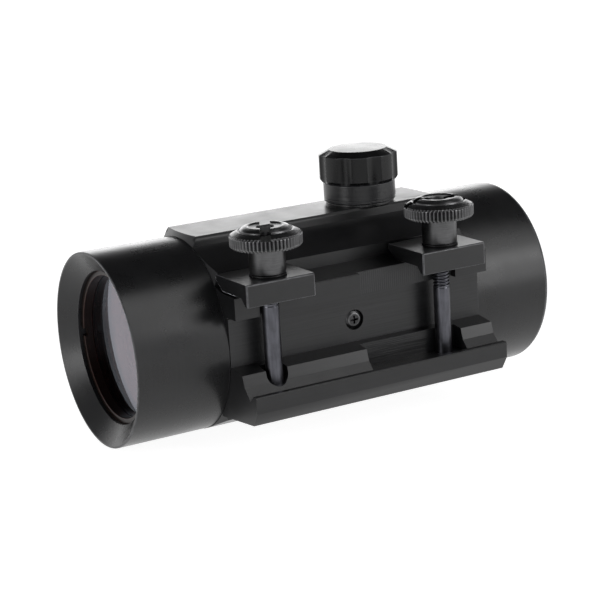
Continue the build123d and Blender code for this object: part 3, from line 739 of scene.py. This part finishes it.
def adjuster(name, axis, seat, top, depth):
    """Slotted adjuster in its recess, turned about its outward axis, y or -z."""
    stem_r, hole_r, head_r, foot = 1.9, 1.25, 3.6, 17.2
    profile = rounded([
        (0, top), (head_r, top, 0.2), (head_r, seat), (stem_r, seat), (stem_r, foot), (hole_r, foot)],
        0.1, 4, False)
    profile += [(hole_r, seat, 0), (0, seat, 0)]
    body = turned(bmesh.new(), profile, axis, (ADJUSTER_X, 0, 0), 128)
    along, across = (ADJUSTER_X - 4, ADJUSTER_X + 4), (-0.4, 0.4)
    if axis == "y":
        tool = box_tool(along, (top - depth, top + 1), across)
    else:
        tool = box_tool(along, across, (-top - 1, depth - top))
    return finished(name, carve(body, [tool]), 35)


place(adjuster("elevation_dial_turned", "y", 19.75, 21.2, 0.8), "elevation_dial")
place(adjuster("windage_dial_turned", "-z", 19.15, 19.9, 0.45), "windage_dial")


# --- CAD nodes that keep their shape -----------------------------------------

for name, slot in SLOTS.items():
    if nodes[name].hide_render:
        continue
    nodes[name].data.materials.clear()
    nodes[name].data.materials.append(mats[slot])


# --- stage, light and camera -------------------------------------------------

def stage_floor():
    """Pale sweep just under the object that rises behind it. It glows a little, so that
    the object's shadow on it stays faint; the glow falls off towards the front left."""
    bm = bmesh.new()
    front, half_width = -4000, 6000
    outline = [(front, 0), (700, 0), (1000, 40), (1200, 200), (1260, 480)]
    rows = []
    for y, rise, _ in rounded(outline, 200, 10, False):
        z = GROUND_Z + rise
        rows.append([bm.verts.new((-half_width, y, z)), bm.verts.new((half_width, y, z))])
    for a, b in zip(rows, rows[1:]):
        bm.faces.new((a[0], a[1], b[1], b[0]))
    bmesh.ops.scale(bm, vec=(MM, MM, MM), verts=bm.verts)
    mesh = bpy.data.meshes.new("floor")
    for face in bm.faces:
        face.smooth = True
    bm.to_mesh(mesh)
    bm.free()
    floor = bpy.data.objects.new("floor", mesh)
    bpy.context.scene.collection.objects.link(floor)
    m = Material("floor_paper", Roughness=0.9, Specular_IOR_Level=0.1, Emission_Color=(1, 1, 1, 1))
    paper = m.noise(m.place, 900, 3.0)
    m.link(m.mix(paper, (0.40, 0.40, 0.40, 1), (0.44, 0.44, 0.44, 1)), "Base Color")
    far = m.math("ADD", m.math("MULTIPLY", m.axis("X"), 0.52), m.math("MULTIPLY", m.axis("Y"), 0.85))
    m.link(m.remap(far, -0.45, -0.14, 0.72, 0.92), "Emission Strength")
    mesh.materials.append(m.material)


def area_light(name, at, target, size, power):
    """White rectangular light in millimetres and watts, aimed at a point."""
    data = bpy.data.lights.new(name, "AREA")
    data.shape = "RECTANGLE"
    data.size, data.size_y = size[0] * MM, size[1] * MM
    data.energy = power
    lamp = bpy.data.objects.new(name, data)
    lamp.location = Vector(at) * MM
    aim = Vector(target) * MM - lamp.location
    lamp.rotation_euler = aim.to_track_quat("-Z", "Y").to_euler()
    bpy.context.scene.collection.objects.link(lamp)


def world_light():
    """Even studio surround: bright round the horizon, dim overhead."""
    world = bpy.data.worlds.new("studio")
    bpy.context.scene.world = world
    world.use_nodes = True
    tree = world.node_tree
    back = tree.nodes["Background"]
    direction = tree.nodes.new("ShaderNodeTexCoord")
    parts = tree.nodes.new("ShaderNodeSeparateXYZ")
    tree.links.new(direction.outputs["Generated"], parts.inputs[0])
    ramp = tree.nodes.new("ShaderNodeValToRGB")
    tree.links.new(parts.outputs[2], ramp.inputs[0])
    keys = ramp.color_ramp.elements
    keys[0].position, keys[0].color = 0.0, (0.8, 0.8, 0.82, 1)
    keys[1].position, keys[1].color = 1.0, (0.06, 0.06, 0.063, 1)
    for position, value in ((0.25, 0.75), (0.42, 0.2), (0.62, 0.05)):
        key = keys.new(position)
        key.color = (value, value, value * 1.02, 1)
    tree.links.new(ramp.outputs[0], back.inputs[0])
    back.inputs[1].default_value = 1.0


def camera():
    """Three-quarter view from the front left and slightly above."""
    data = bpy.data.cameras.new("camera")
    data.lens = 104.57
    data.sensor_width = 36.0
    data.clip_start = 0.01
    data.clip_end = 20.0
    shot = bpy.data.objects.new("camera", data)
    right = Vector((0.86585, -0.49687, -0.05851))
    down = Vector((-0.17366, -0.18880, -0.96654))
    forward = Vector((0.46920, 0.84704, -0.24976))
    at = Vector((-128.53, -318.87, 96.04)) * MM
    facing = Matrix((right, -down, -forward)).transposed()
    shot.matrix_world = Matrix.Translation(at) @ facing.to_4x4()
    bpy.context.scene.collection.objects.link(shot)
    bpy.context.scene.camera = shot


stage_floor()
world_light()
area_light("key_left", (-700, -120, 120), (40, 0, 0), (260, 420), 1.6)
area_light("top_right", (433, -527, 544), (50, 0, 0), (450, 750), 2.5)
area_light("fill_right", (480, -560, 150), (50, -10, 0), (220, 420), 0.9)
area_light("back_low", (430, 850, 170), (50, 0, 0), (1500, 360), 3.6)
camera()
view = bpy.context.scene.view_settings
view.view_transform = "Standard"
view.look = "None"
